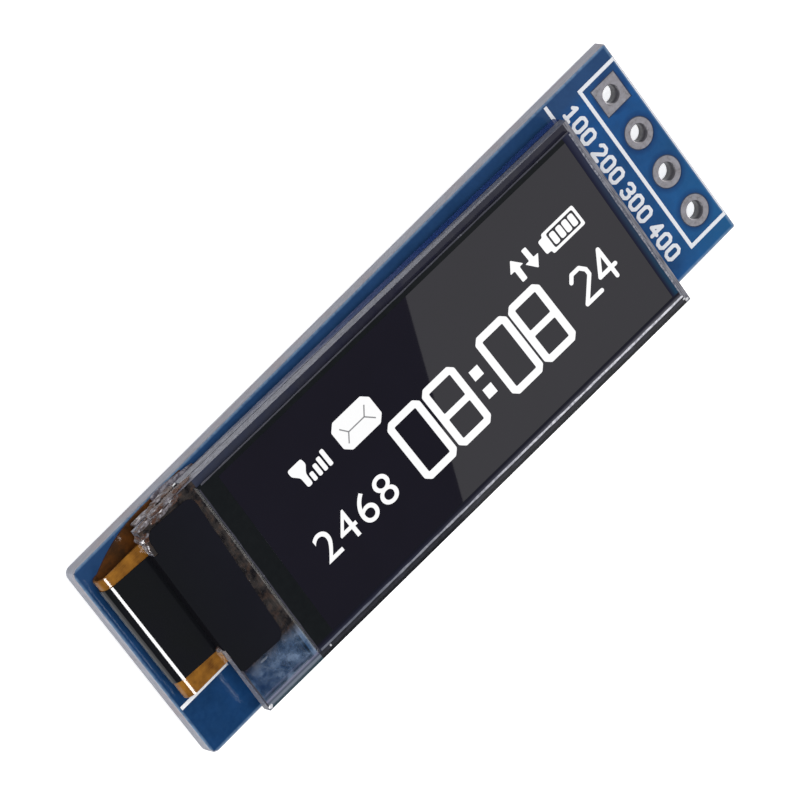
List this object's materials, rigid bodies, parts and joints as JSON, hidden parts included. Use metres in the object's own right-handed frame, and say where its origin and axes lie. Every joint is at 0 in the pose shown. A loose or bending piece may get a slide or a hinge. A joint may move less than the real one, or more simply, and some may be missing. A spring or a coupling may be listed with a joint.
{
  "type": "small oled display module",
  "caption": "Narrow circuit board with a glass display panel joined by a folded flex cable, a row of plated header holes at one end and small components on its back.",
  "frame": {"origin": "middle of the circuit board in plan, at the height of the tallest components on its back", "axes": "+X along the board towards its header holes, +Y across the board towards the square first pad, +Z out of the display"},
  "size_m": [0.038, 0.0122, 0.0037],
  "materials": {
    "laminate": "matte, sawn edge",
    "blue_mask": "satin blue lacquer",
    "white_ink": "matte print",
    "tin": "tinned, slightly dull",
    "gold_copper": "thin gold on copper",
    "solder": "bright solder",
    "amber_flex": "glossy amber film",
    "clear_glass": "polished, cut edges",
    "dark_glass": "polished, cut edges",
    "seal_resin": "cured resin",
    "pixel_film": "thin metal film",
    "drier_sheet": "matte sheet",
    "dark_polarizer": "glossy film",
    "silicon": "ground silicon",
    "bond_resin": "cured film",
    "black_tape": "matte film",
    "foam": "soft foam",
    "clear_glue": "clear, glossy",
    "tan_ceramic": "fired, matte",
    "black_ceramic": "glazed, black",
    "black_mould": "moulded epoxy"
  },
  "bodies": {
    "root": {"board_core": "laminate", "solder_mask_top": "blue_mask", "solder_mask_bottom": "blue_mask", "silkscreen_lines": "white_ink", "header_pads": "tin", "flex_pads": "tin", "flex_cable": "amber_flex", "flex_contacts": "gold_copper", "flex_solder": "solder", "front_glass": "clear_glass", "cap_glass": "dark_glass", "glass_seal": "seal_resin", "pixel_layer": "pixel_film", "drying_sheet": "drier_sheet", "polarizer": "dark_polarizer", "driver_chip": "silicon", "bonding_film": "bond_resin", "light_shield_tape": "black_tape", "foam_tape": "foam", "clear_glue": "clear_glue", "component_pads": "tin", "capacitor_bodies": "tan_ceramic", "capacitor_ends": "tin", "resistor_bodies": "black_ceramic", "resistor_ends": "tin", "regulator_body": "black_mould", "regulator_leads": "tin", "diode_body": "black_mould", "diode_leads": "tin", "component_solder": "solder"}
  },
  "joints": []
}
